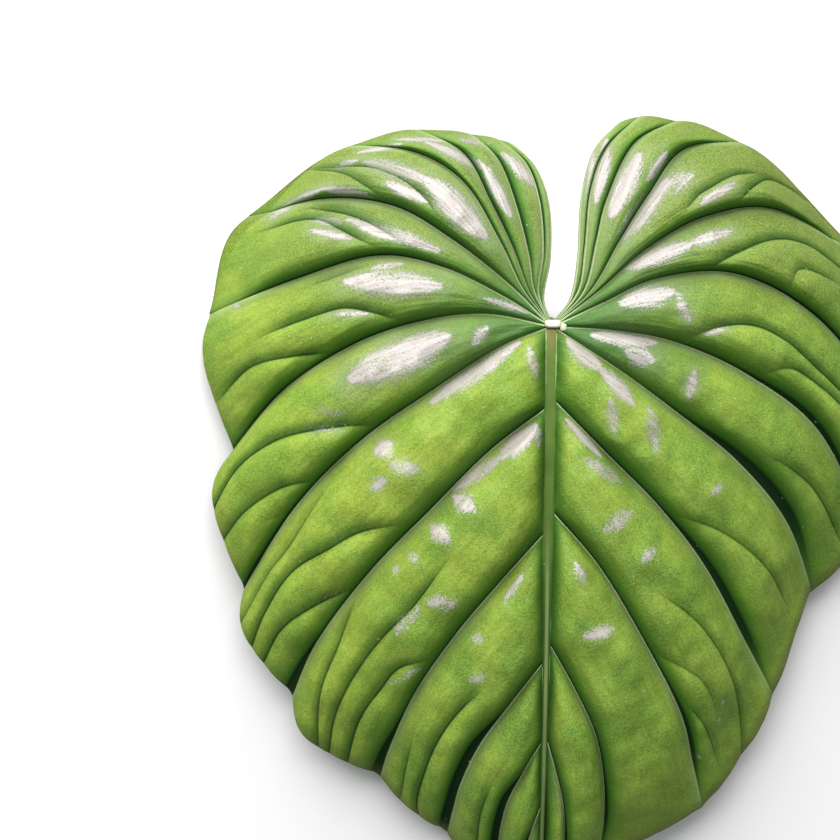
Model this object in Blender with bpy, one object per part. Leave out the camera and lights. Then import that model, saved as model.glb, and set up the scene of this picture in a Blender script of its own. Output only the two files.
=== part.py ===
"""A picked philodendron leaf lying face up: a heart-shaped blade pleated along its side veins,
its midrib, and the cut stub of its stalk, all grown as one piece.

Metres, +Z up. The tip points to -Y. The origin is on the surface that the leaf lies on, under
the middle of its bounding box. The sizes below are in millimetres. X and Y in them are counted
from the stalk joint, at the bottom of the gap between the two lobes, and Z from that surface.
"""

import math

import bpy
import numpy as np

MM = 0.001

JOINT_X = -4.2
JOINT_Y = 87.8
JOINT_Z = 53.0

# The midrib climbs a little from the joint, then falls away to the tip.
TIP_Y = -269.0
TIP_Z = -4.0
MIDRIB_RISE = 20.0
MIDRIB_FALL_POWER = 2.2
MIDRIB_LEAN = 1.6
MIDRIB_RADIUS = 3.0
MIDRIB_TIP_RADIUS = 1.0
MIDRIB_TAPER_POWER = 0.8
MIDRIB_SINK = 0.4
MIDRIB_RINGS = 24

# Each half of the blade starts inside the midrib, or on a small ring round the joint.
BLADE_INSET = 0.62
ROOT_RING = 2.2

BLADE_THICKNESS = 0.8
STEEP_THICKENING = 2.6
VEIN_RIB = 1.3
VEIN_RIB_TAPER = 0.75
DROOP_POWER = 2.4

# Between two veins the blade arches up gently from its lobe side and drops steeply on its tip
# side. Panels that start at the joint are the gentlest. An arch dies away near the margin over
# the given stretch, down to the share of it that its vein's row gives.
ARCH_PER_WIDTH = 0.42
ARCH_MOST = 14.0
ARCH_PEAK = 0.58
ARCH_LOBE_POWER = 2.6
ARCH_LOBE_POWER_AT_JOINT = 1.7
ARCH_TIP_POWER = 3.0
ARCH_MARGIN_LOSS = 0.35
ARCH_MARGIN_POWER = 5
ARCH_FADE = (0.76, 0.98)
MIDRIB_WALL = 6.0
BULGE_POWER = 4
BULGE_SCALE = 6.75

ROWS = 14
ACROSS_WIDE = (0.0, 0.14, 0.35, 0.58, 0.77, 0.88, 0.95)
ACROSS_NARROW = (0.0, 0.12, 0.4, 0.72)
NARROW_PANEL = 18.0

# The stalk turns down tightly under the joint. These are places (Y, Z) on its centre line.
STALK_RADIUS = 3.0
STALK_SIDES = 12
STALK_KNEE = ((-1.4, 50.9), (0.5, 48.4), (1.2, 44.6))
STALK_STUB = ((0.8, 38.0), (-2.0, 30.0), (-7.0, 21.0), (-13.5, 11.5), (-17.5, 6.4))

# The veins from each lobe round to the tip, starting with the edge along the gap. Each has its
# start, the places (X, Y) that it passes, the last on the margin, the height of its outer end,
# how far the margin bulges beyond it as a share of the distance to the next vein's end, and
# how much of the arch beyond it is left at the margin.
# A start from 0 up is an angle round the joint, in degrees from +Y, and a start below 0 is a
# place along the midrib (Y). An end below height 0 lies flat on the surface.
LEFT_VEINS = (
    (10, ((-3, 12), (0, 29), (0, 51), (-5, 68), (-14, 80)), 26, 0.04, 0.2),
    (17, ((-5, 14), (-3, 31), (-4, 52), (-9, 70), (-20, 83)), 22, 0.03, 0.2),
    (24, ((-7, 15), (-9, 29), (-14, 51), (-21, 72), (-32, 86)), 18, 0.03, 0.2),
    (31, ((-9, 14), (-16, 33), (-25, 53), (-36, 75), (-56, 89)), 13, 0.04, 0.25),
    (38, ((-12, 16), (-21, 35), (-36, 61), (-57, 76), (-86, 83)), 6, 0.05, 0.3),
    (47, ((-17, 17), (-42, 37), (-67, 52), (-98, 57), (-132, 52)), -9, 0.1, 0.15),
    (58, ((-21, 13), (-46, 25), (-73, 30), (-106, 22), (-150, 8)), 3, 0.08, 0.7),
    (80, ((-26, 5), (-50, 3), (-80, -6), (-112, -25), (-139, -53)), 8, 0.15, 1.0),
    (108, ((-22, -9), (-50, -27), (-80, -48), (-108, -76), (-134, -115)), 12, 0.12, 1.0),
    (-34, ((-26, -52), (-50, -76), (-76, -103), (-99, -134), (-112, -162)), 14, 0.14, 1.0),
    (-86, ((-21, -106), (-40, -129), (-57, -155), (-68, -181), (-73, -198)), 12, 0.01, 1.0),
    (-141, ((-17, -159), (-29, -176), (-37, -194), (-41, -211), (-43, -223)), 10, 0.05, 1.0),
    (-176, ((-10, -188), (-17, -202), (-20, -215), (-21, -228), (-22, -238)), 8, 0.03, 1.0),
    (-206, ((-6, -215), (-9, -226), (-10, -235), (-10, -244), (-11, -250)), 5, 0.0, 1.0),
)
RIGHT_VEINS = (
    (34, ((8, 12), (11, 29), (13, 54), (19, 75), (31, 89)), 26, 0.05, 0.3),
    (41, ((11, 15), (14, 33), (17, 57), (25, 77), (41, 93)), 22, 0.04, 0.3),
    (48, ((13.5, 15), (19, 36), (24, 54), (37, 79), (58, 92)), 17, 0.06, 0.3),
    (55, ((16.5, 15), (29, 36), (42, 56), (59, 77), (88, 84)), 9, 0.05, 0.5),
    (63, ((20, 15), (41, 33), (67, 47), (99, 52), (140, 38)), -9, 0.1, 0.9),
    (73, ((22, 10), (45, 20), (79, 22), (116, 4), (157, -36)), 4, 0.13, 0.9),
    (94, ((28, -2), (53, -7), (83, -20), (116, -44), (144, -89)), 10, 0.02, 0.3),
    (118, ((28, -18), (53, -36), (80, -57), (103, -83), (119, -116)), 14, -0.03, 0.2),
    (-31, ((24, -54), (45, -75), (65, -100), (85, -134), (101, -161)), 18, 0.03, 0.15),
    (-77, ((20, -100), (39, -131), (56, -163), (63, -187), (70, -211)), 16, 0.0, 0.4),
    (-133, ((11, -153), (20, -173), (24, -194), (25, -213), (24, -232)), 12, 0.04, 1.0),
    (-175, ((4, -191), (7, -205), (8, -222), (8, -235), (8, -246)), 8, 0.0, 1.0),
)


def clear_scene():
    for obj in list(bpy.data.objects):
        bpy.data.objects.remove(obj)


def add_object(name, mesh):
    obj = bpy.data.objects.new(name, mesh)
    bpy.context.scene.collection.objects.link(obj)
    return obj


def along_midrib(y):
    """0 at the joint and beyond it, 1 at the tip."""
    return min(1.0, max(0.0, y / TIP_Y))


def midrib_x(y):
    """The midrib's upper half leans a little to the left."""
    return -MIDRIB_LEAN * math.sin(math.pi / 2 * min(1.0, 2 * along_midrib(y)))


def midrib_z(y):
    """Height of the valley that the midrib lies in."""
    along = along_midrib(y)
    fall = JOINT_Z + MIDRIB_RISE - TIP_Z
    return JOINT_Z + MIDRIB_RISE * along - fall * along**MIDRIB_FALL_POWER


def midrib_radius(y):
    along = along_midrib(y)
    thick = MIDRIB_RADIUS * (1 - along) ** MIDRIB_TAPER_POWER
    return thick + MIDRIB_TIP_RADIUS * along**MIDRIB_TAPER_POWER


def midrib_flank(y, side):
    """Where a half of the blade starts inside the midrib, seen from above."""
    return (midrib_x(y) + side * BLADE_INSET * midrib_radius(y), y)


def vein_root(start, side):
    if start < 0:
        return midrib_flank(start, side)
    turn = math.radians(start)
    return (side * ROOT_RING * math.sin(turn), ROOT_RING * math.cos(turn))


def smooth_line(points, count):
    """count + 1 places, evenly spaced along a Catmull-Rom curve through the points."""
    points = [np.array(point, float) for point in points]
    ends = [2 * points[0] - points[1], *points, 2 * points[-1] - points[-2]]
    fine = []
    for a, b, c, d in zip(ends, ends[1:], ends[2:], ends[3:]):
        for t in np.linspace(0, 1, 24, endpoint=False):
            square = 2 * a - 5 * b + 4 * c - d
            cube = 3 * b - a - 3 * c + d
            fine.append(b + 0.5 * ((c - a) * t + square * t**2 + cube * t**3))
    fine = np.array([*fine, points[-1]])
    run = np.concatenate([[0], np.cumsum(np.linalg.norm(np.diff(fine, axis=0), axis=1))])
    stops = np.linspace(0, run[-1], count + 1)
    return np.stack([np.interp(stops, run, fine[:, k]) for k in range(2)], axis=1)


def vein_lines(veins, side):
    """Each vein as (places, heights) from root to margin, then the midrib's last stretch."""
    droop = np.linspace(0, 1, ROWS + 1) ** DROOP_POWER
    lines = []
    for start, passes, end_z, _, _ in veins:
        root = vein_root(start, side)
        heights = midrib_z(root[1]) * (1 - droop) + end_z * droop
        lines.append((smooth_line([root, *passes], ROWS), heights))
    last_stretch = np.linspace(veins[-1][0], TIP_Y, ROWS + 1)
    places = np.array([midrib_flank(y, side) for y in last_stretch])
    lines.append((places, np.array([midrib_z(y) for y in last_stretch])))
    return lines


def arch(t, lobe_power):
    """Height across a panel, 0 at its two veins (t = 0 and 1) and 1 at its peak."""
    if t < ARCH_PEAK:
        return 1 - (1 - t / ARCH_PEAK) ** lobe_power
    return 1 - (1 - (1 - t) / (1 - ARCH_PEAK)) ** ARCH_TIP_POWER


def arch_height(width, length, outwards, left_at_margin):
    """Height of a panel's arch from midrib to margin."""
    start, end = ARCH_FADE
    fade = np.clip((outwards - start) / (end - start), 0, 1)
    height = ARCH_MOST * np.tanh(ARCH_PER_WIDTH * width / ARCH_MOST)
    height *= 1 - ARCH_MARGIN_LOSS * outwards**ARCH_MARGIN_POWER
    height *= 1 - (1 - left_at_margin) * fade**2 * (3 - 2 * fade)
    if width[0] > ROOT_RING:
        height *= 1 - np.exp(-outwards * length / MIDRIB_WALL)
    return height


def panel_columns(first, second, bulge, left_at_margin, side):
    """Columns (x, y, z) from midrib to margin across one panel, without its second vein."""
    (line_a, z_a), (line_b, z_b) = first, second
    outwards = np.linspace(0, 1, ROWS + 1)
    width = np.linalg.norm(line_b - line_a, axis=1)
    length = np.linalg.norm(np.diff(line_a, axis=0), axis=1).sum()
    height = arch_height(width, length, outwards, left_at_margin)
    lobe_power = ARCH_LOBE_POWER if width[0] > ROOT_RING else ARCH_LOBE_POWER_AT_JOINT
    chord = line_b[-1] - line_a[-1]
    bulge_way = bulge * BULGE_SCALE * side * np.array([-chord[1], chord[0]])
    for t in ACROSS_WIDE if width.max() > NARROW_PANEL else ACROSS_NARROW:
        push = t * (1 - t) ** 2 * outwards**BULGE_POWER
        flat = line_a * (1 - t) + line_b * t + push[:, None] * bulge_way
        z = z_a * (1 - t) + z_b * t + height * arch(t, lobe_power)
        yield np.column_stack([flat, z])


def half_grid(veins, side):
    """The half blade's top face, rows by columns of (x, y, z), and each vein's column."""
    lines = vein_lines(veins, side)
    columns = []
    vein_columns = []
    for vein, first, second in zip(veins, lines, lines[1:]):
        vein_columns.append(len(columns))
        columns += panel_columns(first, second, vein[3], vein[4], side)
    vein_columns.append(len(columns))
    columns.append(np.column_stack(lines[-1]))
    return np.stack(columns, axis=1), vein_columns


def drop_to_underside(top, vein_columns):
    """How far below the top face the underside lies: evenly thick, with ribs under the veins."""
    normal = np.cross(np.gradient(top, axis=0), np.gradient(top, axis=1))
    size = np.linalg.norm(normal, axis=2)
    upright = np.divide(np.abs(normal[..., 2]), size, out=np.ones_like(size), where=size > 0)
    drop = BLADE_THICKNESS / np.maximum(upright, 1 / STEEP_THICKENING)
    taper = 1 - VEIN_RIB_TAPER * np.linspace(0, 1, len(top))
    for column in vein_columns[1:-1]:
        drop[:, column] += VEIN_RIB * taper
    return drop


def fold_panel_starts(index, top, vein_columns):
    """Round the joint each panel starts from its first vein's root, for want of room."""
    for a, b in zip(vein_columns, vein_columns[1:]):
        if np.linalg.norm(top[0, a] - top[0, b]) < ROOT_RING:
            index[0, a:b] = index[0, a]


def top_triangles(index, side):
    """Every cell is split along the same diagonal, so both faces of the blade are alike."""
    triangles = []
    for near, far in zip(index, index[1:]):
        for a, b, c, d in zip(near, near[1:], far, far[1:]):
            triangles += [(a, c, d), (a, d, b)] if side < 0 else [(a, d, c), (a, b, d)]
    return [triangle for triangle in triangles if len(set(triangle)) == 3]


def rim_walls(index, below, side):
    """The walls round the half blade, from its top face to the same places below it."""
    rim = [*index[0], *index[1:, -1], *index[-1, -2::-1], *index[-2:0:-1, 0]]
    rim = [place for i, place in enumerate(rim) if place != rim[i - 1]]
    walls = []
    for a, b in zip(rim, rim[1:] + rim[:1]):
        pair = [(a, b, b + below), (a, b + below, a + below)]
        walls += pair if side < 0 else [wall[::-1] for wall in pair]
    return walls


def half_blade(name, veins, side):
    """One half of the blade as a closed shell. It is left of the midrib where side is -1."""
    top, vein_columns = half_grid(veins, side)
    drop = drop_to_underside(top, vein_columns)
    top += (JOINT_X, JOINT_Y, 0)
    under = top.copy()
    under[..., 2] = np.maximum(top[..., 2] - drop, 0)
    top[..., 2] = np.maximum(top[..., 2], under[..., 2] + BLADE_THICKNESS)

    below = drop.size
    index = np.arange(below).reshape(drop.shape)
    fold_panel_starts(index, top, vein_columns)
    faces = top_triangles(index, side)
    faces += [(c + below, b + below, a + below) for a, b, c in faces]
    faces += rim_walls(index, below, side)

    points = np.concatenate([top.reshape(-1, 3), under.reshape(-1, 3)]) * MM
    used, corners = np.unique(np.array(faces), return_inverse=True)
    mesh = bpy.data.meshes.new(name)
    mesh.from_pydata(points[used].tolist(), [], corners.reshape(-1, 3).tolist())
    return add_object(name, mesh)


def tapered_rod(name, points, radii):
    """A round rod with closed ends through the points, in millimetres like the radii."""
    curve = bpy.data.curves.new(name, "CURVE")
    curve.dimensions = "3D"
    curve.bevel_depth = MM
    curve.bevel_resolution = STALK_SIDES // 4 - 1
    curve.use_fill_caps = True
    spline = curve.splines.new("POLY")
    spline.points.add(len(points) - 1)
    for node, (x, y, z), radius in zip(spline.points, points, radii):
        node.co = (x * MM, y * MM, z * MM, 1)
        node.radius = radius
    drawn = add_object(name + "_line", curve)
    graph = bpy.context.evaluated_depsgraph_get()
    mesh = bpy.data.meshes.new_from_object(drawn.evaluated_get(graph))
    bpy.data.objects.remove(drawn)
    return add_object(name, mesh)


def midrib_and_stalk():
    """The midrib from the tip to the joint, then the knee and the cut stub of the stalk."""
    points, radii = [], []
    for y in np.linspace(TIP_Y + MIDRIB_TIP_RADIUS, -4.0, MIDRIB_RINGS):
        radius = midrib_radius(y)
        height = max(midrib_z(y) - MIDRIB_SINK * radius, 1.25 * radius)
        points.append((JOINT_X + midrib_x(y), JOINT_Y + y, height))
        radii.append(radius)
    for y, z in STALK_KNEE + STALK_STUB:
        points.append((JOINT_X, JOINT_Y + y, z))
        radii.append(STALK_RADIUS)
    return tapered_rod("midrib_and_stalk", points, radii)


def fuse(base, others):
    """Joins the others to base with one Boolean union, and removes them."""
    group = bpy.data.collections.new("to_join")
    bpy.context.scene.collection.children.link(group)
    for obj in others:
        bpy.context.scene.collection.objects.unlink(obj)
        group.objects.link(obj)
    union = base.modifiers.new("union", "BOOLEAN")
    union.operation = "UNION"
    union.solver = "EXACT"
    union.operand_type = "COLLECTION"
    union.collection = group
    graph = bpy.context.evaluated_depsgraph_get()
    base.data = bpy.data.meshes.new_from_object(base.evaluated_get(graph))
    base.modifiers.clear()
    for obj in others:
        bpy.data.objects.remove(obj)
    bpy.data.collections.remove(group)
    return base


def leaf_green():
    material = bpy.data.materials.new("leaf_green")
    material.use_nodes = True
    shader = material.node_tree.nodes["Principled BSDF"]
    shader.inputs["Base Color"].default_value = (0.13, 0.30, 0.035, 1)
    shader.inputs["Roughness"].default_value = 0.3
    shader.inputs["Metallic"].default_value = 0.0
    return material


def main():
    clear_scene()
    halves = [half_blade("left_half", LEFT_VEINS, -1), half_blade("right_half", RIGHT_VEINS, 1)]
    leaf = fuse(midrib_and_stalk(), halves)
    leaf.name = "leaf"
    leaf.data.name = "leaf"
    leaf.data.materials.clear()
    leaf.data.materials.append(leaf_green())
    leaf.data.shade_smooth()
    leaf.data.set_sharp_from_angle(angle=math.radians(50))


main()
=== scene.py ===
import math
import types

import bpy
import mathutils
import numpy as np
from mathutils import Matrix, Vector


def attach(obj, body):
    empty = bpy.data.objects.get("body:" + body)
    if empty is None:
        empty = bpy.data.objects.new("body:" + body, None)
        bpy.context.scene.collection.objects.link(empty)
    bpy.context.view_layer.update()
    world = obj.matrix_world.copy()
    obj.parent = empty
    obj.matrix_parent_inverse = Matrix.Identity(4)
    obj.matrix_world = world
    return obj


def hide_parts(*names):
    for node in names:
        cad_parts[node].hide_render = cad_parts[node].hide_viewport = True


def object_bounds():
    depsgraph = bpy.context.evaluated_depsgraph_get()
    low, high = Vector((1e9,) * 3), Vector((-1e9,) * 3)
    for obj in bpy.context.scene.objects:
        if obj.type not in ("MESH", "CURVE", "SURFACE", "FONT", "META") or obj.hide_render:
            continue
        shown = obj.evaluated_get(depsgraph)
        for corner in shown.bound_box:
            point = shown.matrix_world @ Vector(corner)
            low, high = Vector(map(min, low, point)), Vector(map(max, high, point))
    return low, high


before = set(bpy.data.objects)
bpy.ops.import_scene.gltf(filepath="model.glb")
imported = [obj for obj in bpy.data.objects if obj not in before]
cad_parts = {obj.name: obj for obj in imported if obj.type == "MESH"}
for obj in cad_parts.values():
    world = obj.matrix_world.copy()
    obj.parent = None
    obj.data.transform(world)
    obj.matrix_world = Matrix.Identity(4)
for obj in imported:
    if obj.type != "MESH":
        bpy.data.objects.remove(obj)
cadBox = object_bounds()
mm = 0.001
print("frame loaded, the packed leaf is", [round((b - a) * 1000) for a, b in zip(*cadBox)], "mm")

# Places on the leaf are in millimetres. X and Y count from the stalk joint, at the bottom of the
# gap between the lobes, and Z from the surface that the leaf lies on. The veins, folds and shine
# strokes were picked on the photo, and most of them were turned into these units. Scratch
# scripts turned most of them into these units.
leafPlan = {
    "joint": (-4.2, 87.8, 53.0),
    "tip": (-269.0, -4.0),        # Y and Z
    "midribRise": 20.0,
    "midribFallPower": 2.2,
    "midribLean": 1.6,
    "midribRadius": (3.0, 1.0),   # at the joint and at the tip
    "midribTaper": 0.8,
    "bladeInset": 0.62,           # share of the midrib's radius where each half starts
    "rootRing": 2.2,
    "droopPower": 2.4,
}

# Each vein: its start, the places it passes, the height of its outer end, and the margin's bulge
# up to the next one. A start from 0 up is an angle round the joint, below 0 a place on the midrib.
leftVeins = (
    (10, ((-3, 12), (0, 29), (0, 51), (-5, 68), (-14, 80)), 26, 0.04),
    (17, ((-5, 14), (-3, 31), (-4, 52), (-9, 70), (-20, 83)), 22, 0.03),
    (24, ((-7, 15), (-9, 29), (-14, 51), (-21, 72), (-32, 86)), 18, 0.03),
    (31, ((-9, 14), (-16, 33), (-25, 53), (-36, 75), (-56, 89)), 13, 0.04),
    (38, ((-12, 16), (-21, 35), (-36, 61), (-57, 76), (-86, 83)), 6, 0.05),
    (47, ((-17, 17), (-42, 37), (-67, 52), (-98, 57), (-132, 52)), -9, 0.1),
    (58, ((-21, 13), (-46, 25), (-73, 30), (-106, 22), (-150, 8)), 3, 0.08),
    (80, ((-26, 5), (-50, 3), (-80, -6), (-112, -25), (-139, -53)), 8, 0.15),
    (108, ((-22, -9), (-50, -27), (-80, -48), (-108, -76), (-134, -115)), 12, 0.12),
    (-34, ((-26, -52), (-50, -76), (-76, -103), (-99, -134), (-112, -162)), 14, 0.14),
    (-86, ((-21, -106), (-40, -129), (-57, -155), (-68, -181), (-73, -198)), 12, 0.01),
    (-141, ((-17, -159), (-29, -176), (-37, -194), (-41, -211), (-43, -223)), 10, 0.05),
    (-176, ((-10, -188), (-17, -202), (-20, -215), (-21, -228), (-22, -238)), 8, 0.03),
    (-206, ((-6, -215), (-9, -226), (-10, -235), (-10, -244), (-11, -250)), 5, 0.0),
)
rightVeins = (
    (34, ((8, 12), (11, 29), (13, 54), (19, 75), (31, 89)), 26, 0.05),
    (41, ((11, 15), (14, 33), (17, 57), (25, 77), (41, 93)), 22, 0.04),
    (48, ((13.5, 15), (19, 36), (24, 54), (37, 79), (58, 92)), 17, 0.06),
    (55, ((16.5, 15), (29, 36), (42, 56), (59, 77), (88, 84)), 9, 0.05),
    (63, ((20, 15), (41, 33), (67, 47), (99, 52), (140, 38)), -9, 0.1),
    (73, ((22, 10), (45, 20), (79, 22), (116, 4), (157, -36)), 4, 0.13),
    (94, ((28, -2), (53, -7), (83, -20), (116, -44), (144, -89)), 10, 0.02),
    (118, ((28, -18), (53, -36), (80, -57), (103, -83), (119, -116)), 14, -0.03),
    (-31, ((24, -54), (45, -75), (65, -100), (85, -134), (101, -161)), 18, 0.03),
    (-77, ((20, -100), (39, -131), (56, -163), (63, -187), (70, -211)), 16, 0.0),
    (-133, ((11, -153), (20, -173), (24, -194), (25, -213), (24, -232)), 12, 0.04),
    (-175, ((4, -191), (7, -205), (8, -222), (8, -235), (8, -246)), 8, 0.0),
)

# The crease on each panel's tip side: the width of its gap in mm, the share of the way out where
# the gap opens, and how much of the crease is left at the margin.
leftCreases = (
    (0, 0.5, 0.2), (0, 0.5, 0.2), (0, 0.5, 0.2), (0, 0.5, 0.25), (0, 0.5, 0.3), (0, 0.5, 0.15),
    (1, 0.7, 0.7), (1.5, 0.6, 1), (4.5, 0.78, 1), (4, 0.7, 1), (4.5, 0.25, 1), (4, 0.2, 1),
    (3, 0.2, 1), (0, 0.5, 1),
)
rightCreases = (
    (0, 0.5, 0.3), (0, 0.5, 0.3), (0, 0.5, 0.3), (0, 0.5, 0.5), (1.5, 0.4, 0.9), (2.5, 0.4, 0.9),
    (4, 0.35, 0.3), (3.5, 0.35, 0.2), (2.5, 0.5, 0.15), (1, 0.5, 0.4), (0.8, 0.4, 1), (0, 0.5, 1),
)

# Where the skin shines most, with a glossier coat and a painted highlight, as strokes: X and Y of both ends,
# half width, strength.
glossStrokes = (
    (-83, -22, -44, -5, 5.8, 1), (-33, -8, -27, -1, 2.1, 0.9), (-86, 19, -47, 16, 4.2, 1),
    (-75, 24, -62, 26, 1.2, 0.9), (-101, 47, -88, 45, 1.7, 0.9), (-86, 46, -47, 31, 2.1, 1),
    (-102, 42, -84, 37, 1.5, 1), (-80, 42, -65, 36, 1.5, 1),
    (-69, 61, -52, 52, 2.1, 1), (-79, 72, -50, 61, 3.1, 0.85), (-52, 62, -28, 37, 4.6, 1),
    (-52, 80, -25, 66, 1.9, 1), (-28, 68, -17, 46, 2.3, 1), (-65, 83, -44, 81, 1.2, 0.9),
    (-118, 54, -97, 61, 1.5, 0.95), (-97, 61, -75, 55, 1.7, 1), (-93, 5, -76, 5, 1.0, 0.9),
    (-10, -9, -7, -21, 1.9, 0.8), (-7, -41, -6, -50, 1.7, 0.75), (-137, 11, -134, 11, 1.0, 0.8),
    (-97, -35, -87, -37, 0.8, 0.6), (73, -158, 74, -159, 0.6, 1), (72, -166, 73, -167, 0.5, 1),
    (-20, 75, -5, 59, 2.5, 0.9), (-38, 82, -25, 80, 1.7, 0.7), (-82, 78, -63, 80, 1.2, 0.9),
    (-92, 72, -82, 74, 1.5, 0.9), (-122, 50, -111, 56, 1.7, 0.8), (-28, 11, -8, 5, 1.3, 0.9),
    (-50, -32, -14, -7, 2.9, 1), (-73, -53, -66, -49, 3.3, 0.9), (-75, -67, -69, -64, 2.5, 0.85),
    (-67, -58, -55, -60, 2.9, 0.75), (-40, -71, -33, -76, 3.3, 0.95), (-50, -83, -43, -89, 2.9, 0.95),
    (-41, -68, -21, -54, 2.1, 1), (-22, -55, -7, -42, 3.1, 1), (-59, -95, -56, -97, 1.7, 0.85),
    (-66, -101, -64, -102, 1.5, 0.8), (-65, -128, -55, -117, 2.1, 0.75), (-52, -114, -40, -115, 2.5, 0.8),
    (-33, -129, -29, -130, 1.7, 0.75), (-34, -147, -28, -145, 1.7, 0.8), (-20, -114, -12, -103, 1, 0.9),
    (-67, -150, -55, -143, 1, 0.7), (-102, -43, -88, -43, 0.8, 0.8), (-98, -117, -90, -112, 0.6, 0.8),
    (19, 52, 25, 80, 2.5, 1), (15, 48, 19, 76, 1.4, 0.85), (25, 46, 38, 73, 3.5, 1),
    (41, 61, 50, 74, 1.7, 0.9), (28, 35, 50, 62, 3.1, 1), (45, 57, 60, 64, 3.3, 0.7),
    (63, 51, 79, 61, 1.7, 0.9), (31, 24, 58, 34, 2.9, 1), (58, 34, 76, 40, 2.1, 0.9),
    (29, 9, 50, 14, 3.7, 1), (52, 13, 56, 1, 2.1, 0.75), (63, -4, 73, -1, 1, 0.8),
    (17, -4, 43, -7, 2.9, 1), (31, -11, 41, -15, 3.7, 0.9), (7, -6, 20, -18, 3.3, 1),
    (20, -18, 33, -33, 2.7, 1), (23, -31, 25, -45, 2.1, 0.7), (40, -34, 42, -52, 2.5, 0.7),
    (59, -19, 56, -30, 2.1, 0.75), (6, -39, 20, -54, 1.7, 1), (13, -55, 28, -65, 2.1, 0.7),
    (21, -84, 32, -77, 2.5, 0.75), (36, -97, 42, -92, 1.7, 0.8), (65, -70, 71, -66, 1.2, 0.8),
    (9, -98, 13, -106, 1.7, 0.8), (13, -128, 25, -125, 2.1, 1), (62, -182, 66, -184, 0.8, 0.9),
)

# The smaller folds inside the panels: which panel, how deep, and the places each runs through as
# (share of the way out to the margin, share of the way across to the panel's second vein).
leftFolds = (
    (4, 2.2, ((0.44, 0.8), (0.53, 0.64), (0.65, 0.5), (0.79, 0.42), (0.95, 0.38))),
    (4, 1.8, ((0.59, 0.94), (0.72, 0.72), (0.87, 0.48), (0.98, 0.4))),
    (5, 2.2, ((0.43, 0.76), (0.53, 0.48), (0.64, 0.26), (0.78, 0.12))),
    (5, 2.6, ((0.5, 0.86), (0.65, 0.46), (0.75, 0.28), (0.89, 0.28))),
    (6, 3.0, ((0.39, 0.94), (0.49, 0.7), (0.57, 0.54), (0.66, 0.48), (0.8, 0.42))),
    (6, 2.2, ((0.58, 1.0), (0.73, 0.76), (0.86, 0.6), (0.98, 0.64))),
    (6, 0.9, ((0.48, 0.1), (0.58, 0.14), (0.68, 0.14))),
    (6, 0.7, ((0.68, 0.12), (0.85, 0.08), (1.0, 0.12))),
    (7, 3.0, ((0.46, 1.0), (0.54, 0.78), (0.69, 0.5), (0.8, 0.36), (0.91, 0.3), (1.0, 0.4))),
    (7, 2.2, ((0.65, 1.0), (0.77, 0.76), (0.9, 0.62), (1.0, 0.62))),
    (7, 1.0, ((0.75, 1.0), (0.86, 0.8))),
    (8, 1.4, ((0.62, 0.12), (0.77, 0.22), (0.87, 0.2), (1.0, 0.24))),
    (8, 2.8, ((0.46, 0.9), (0.58, 0.66), (0.68, 0.54), (0.8, 0.4), (0.92, 0.4), (1.0, 0.46))),
    (8, 2.4, ((0.64, 1.0), (0.79, 0.76), (0.9, 0.62), (1.0, 0.62))),
    (8, 1.2, ((0.82, 0.98), (0.94, 0.82))),
    (9, 2.2, ((0.36, 0.44), (0.51, 0.5), (0.63, 0.46), (0.76, 0.44), (0.89, 0.46), (1.0, 0.54))),
    (9, 2.4, ((0.54, 0.94), (0.65, 0.74), (0.74, 0.7), (0.85, 0.66), (1.0, 0.7))),
    (9, 2.0, ((0.64, 0.04), (0.76, 0.18), (0.88, 0.26), (1.0, 0.44))),
    (10, 2.4, ((0.38, 0.6), (0.58, 0.52), (0.75, 0.5), (0.93, 0.52), (1.0, 0.6))),
    (10, 1.6, ((0.74, 0.2), (0.93, 0.3), (1.0, 0.32))),
    (11, 1.8, ((0.5, 0.52), (0.7, 0.52), (0.9, 0.58), (1.0, 0.6))),
)
rightFolds = (
    (3, 2.2, ((0.48, 0.68), (0.58, 0.54), (0.65, 0.52), (0.85, 0.42))),
    (3, 2.6, ((0.62, 0.9), (0.76, 0.64), (0.9, 0.46), (1.0, 0.6))),
    (4, 2.8, ((0.37, 1.0), (0.48, 0.64), (0.61, 0.38), (0.75, 0.28), (0.9, 0.34))),
    (4, 2.0, ((0.59, 0.94), (0.67, 0.6), (0.8, 0.5))),
    (5, 3.0, ((0.3, 0.94), (0.38, 0.68), (0.48, 0.5), (0.57, 0.48), (0.66, 0.52), (0.8, 0.48))),
    (5, 2.2, ((0.5, 0.96), (0.58, 0.72), (0.67, 0.66), (0.8, 0.58))),
    (6, 1.8, ((0.6, 0.74), (0.7, 0.6), (0.79, 0.5), (0.95, 0.42))),
    (7, 1.6, ((0.42, 0.94), (0.57, 0.66), (0.73, 0.48), (0.9, 0.4))),
    (8, 1.6, ((0.42, 0.6), (0.6, 0.4), (0.77, 0.32), (0.88, 0.36), (1.0, 0.5))),
    (8, 1.2, ((0.47, 1.0), (0.68, 0.66), (0.8, 0.6))),
    (8, 1.4, ((0.64, 0.96), (0.79, 0.78), (0.92, 0.74))),
)


def alongMidrib(y):
    return np.clip(np.asarray(y, float) / leafPlan["tip"][0], 0, 1)  # 0 at the joint, 1 at the tip


def midribX(y):
    return -leafPlan["midribLean"] * np.sin(math.pi / 2 * np.minimum(1, 2 * alongMidrib(y)))


def midribZ(y):
    share = alongMidrib(y)
    height, rise = leafPlan["joint"][2], leafPlan["midribRise"]
    fall = height + rise - leafPlan["tip"][1]
    return height + rise * share - fall * share ** leafPlan["midribFallPower"]


def midribRadius(y):
    share, (thick, thin) = alongMidrib(y), leafPlan["midribRadius"]
    return thick * (1 - share) ** leafPlan["midribTaper"] + thin * share ** leafPlan["midribTaper"]


def midribFlank(y, side):
    return np.array([midribX(y) + side * leafPlan["bladeInset"] * midribRadius(y), y], float)


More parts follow.
